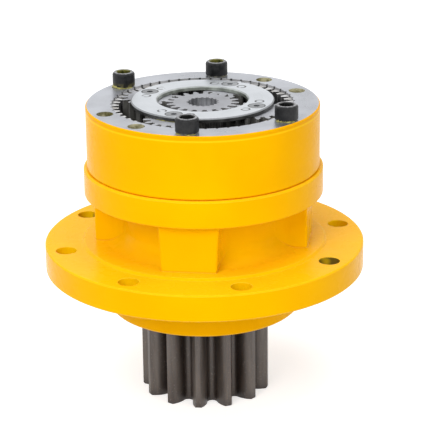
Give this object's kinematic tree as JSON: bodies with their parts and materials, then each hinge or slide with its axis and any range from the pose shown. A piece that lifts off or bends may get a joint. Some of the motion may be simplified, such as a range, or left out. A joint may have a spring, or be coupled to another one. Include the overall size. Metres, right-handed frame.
{
  "type": "excavator swing gearbox",
  "caption": "Planetary swing gearbox for an excavator: ribbed flanged casing, toothed ring on top, splined input sun gear and an output pinion below",
  "frame": {"origin": "centre of the mounting flange's underside, on the gearbox axis", "axes": "+Z along the gearbox axis from the output pinion up to the motor face; -Y through the rib that faces the viewer in the picture; +X to the right"},
  "size_m": [0.3399, 0.34, 0.3355],
  "materials": {
    "casing_paint": "semi-gloss yellow enamel",
    "ring_steel": "machined and oiled steel",
    "black_screws": "black oxide",
    "plate_steel": "ground steel",
    "gear_steel": "ground and oiled gear steel",
    "carrier_iron": "machined ductile iron",
    "pinion_steel": "dark induction-hardened steel",
    "bearing_steel": "ground bearing steel",
    "seal_rubber": "nitrile rubber",
    "plate_screw_steel": "plain steel screws",
    "plug_steel": "zinc-plated steel"
  },
  "bodies": {
    "casing": {"casing": "casing_paint", "ring_gear": "ring_steel", "ring_gear_screws": "black_screws", "oil_plug": "plug_steel", "lower_bearing_cup": "bearing_steel", "upper_bearing_cup": "bearing_steel", "oil_seal": "seal_rubber"},
    "output_shaft": {"output_pinion_shaft": "pinion_steel", "seal_sleeve": "gear_steel", "lower_bearing_cone": "bearing_steel", "upper_bearing_cone": "bearing_steel", "bearing_lock_nut": "black_screws", "second_stage_carrier": "carrier_iron", "second_stage_planet_pins": "gear_steel"},
    "lower_rollers": {"lower_bearing_rollers": "bearing_steel"},
    "upper_rollers": {"upper_bearing_rollers": "bearing_steel"},
    "first_carrier": {"first_stage_carrier": "carrier_iron", "first_stage_planet_pins": "gear_steel", "side_plate": "plate_steel", "side_plate_screws": "plate_screw_steel", "second_stage_sun_gear": "gear_steel"},
    "input_sun": {"input_sun_gear": "gear_steel"},
    "second_planet_1": {"second_stage_planet_1": "gear_steel"},
    "second_planet_2": {"second_stage_planet_2": "gear_steel"},
    "second_planet_3": {"second_stage_planet_3": "gear_steel"},
    "first_planet_1": {"first_stage_planet_1": "gear_steel"},
    "first_planet_2": {"first_stage_planet_2": "gear_steel"},
    "first_planet_3": {"first_stage_planet_3": "gear_steel"},
    "first_planet_4": {"first_stage_planet_4": "gear_steel"}
  },
  "joints": [
    {"name": "output_spin", "type": "hinge", "parent": "casing", "child": "output_shaft", "pos_m": [0, 0, 0], "axis": [0, 0, 1], "continuous": true},
    {"name": "lower_rollers_orbit", "type": "hinge", "parent": "casing", "child": "lower_rollers", "pos_m": [0, 0, 0], "axis": [0, 0, 1], "continuous": true},
    {"name": "upper_rollers_orbit", "type": "hinge", "parent": "casing", "child": "upper_rollers", "pos_m": [0, 0, 0.05], "axis": [0, 0, 1], "continuous": true},
    {"name": "second_planet_1_spin", "type": "hinge", "parent": "output_shaft", "child": "second_planet_1", "pos_m": [0.05001, 0.02888, 0.128], "axis": [0, 0, 1], "continuous": true},
    {"name": "second_planet_2_spin", "type": "hinge", "parent": "output_shaft", "child": "second_planet_2", "pos_m": [-0.05001, 0.02888, 0.128], "axis": [0, 0, 1], "continuous": true},
    {"name": "second_planet_3_spin", "type": "hinge", "parent": "output_shaft", "child": "second_planet_3", "pos_m": [0, -0.05775, 0.128], "axis": [0, 0, 1], "continuous": true},
    {"name": "first_carrier_spin", "type": "hinge", "parent": "casing", "child": "first_carrier", "pos_m": [0, 0, 0.149], "axis": [0, 0, 1], "continuous": true},
    {"name": "first_planet_1_spin", "type": "hinge", "parent": "first_carrier", "child": "first_planet_1", "pos_m": [0.02113, 0.05935, 0.165], "axis": [0, 0, 1], "continuous": true},
    {"name": "first_planet_2_spin", "type": "hinge", "parent": "first_carrier", "child": "first_planet_2", "pos_m": [-0.05935, 0.02113, 0.165], "axis": [0, 0, 1], "continuous": true},
    {"name": "first_planet_3_spin", "type": "hinge", "parent": "first_carrier", "child": "first_planet_3", "pos_m": [-0.02113, -0.05935, 0.165], "axis": [0, 0, 1], "continuous": true},
    {"name": "first_planet_4_spin", "type": "hinge", "parent": "first_carrier", "child": "first_planet_4", "pos_m": [0.05935, -0.02113, 0.165], "axis": [0, 0, 1], "continuous": true},
    {"name": "input_sun_spin", "type": "hinge", "parent": "casing", "child": "input_sun", "pos_m": [0, 0, 0.165], "axis": [0, 0, 1], "continuous": true}
  ],
  "couplings": [
    {"joint": "lower_rollers_orbit", "follows": "output_spin", "ratio": 0.4264},
    {"joint": "upper_rollers_orbit", "follows": "output_spin", "ratio": 0.43091},
    {"joint": "second_planet_1_spin", "follows": "output_spin", "ratio": -2.7368},
    {"joint": "second_planet_2_spin", "follows": "output_spin", "ratio": -2.7368},
    {"joint": "second_planet_3_spin", "follows": "output_spin", "ratio": -2.7368},
    {"joint": "first_carrier_spin", "follows": "output_spin", "ratio": 4.7143},
    {"joint": "first_planet_1_spin", "follows": "output_spin", "ratio": -15.321},
    {"joint": "first_planet_2_spin", "follows": "output_spin", "ratio": -15.321},
    {"joint": "first_planet_3_spin", "follows": "output_spin", "ratio": -15.321},
    {"joint": "first_planet_4_spin", "follows": "output_spin", "ratio": -15.321},
    {"joint": "input_sun_spin", "follows": "output_spin", "ratio": 16.971}
  ]
}
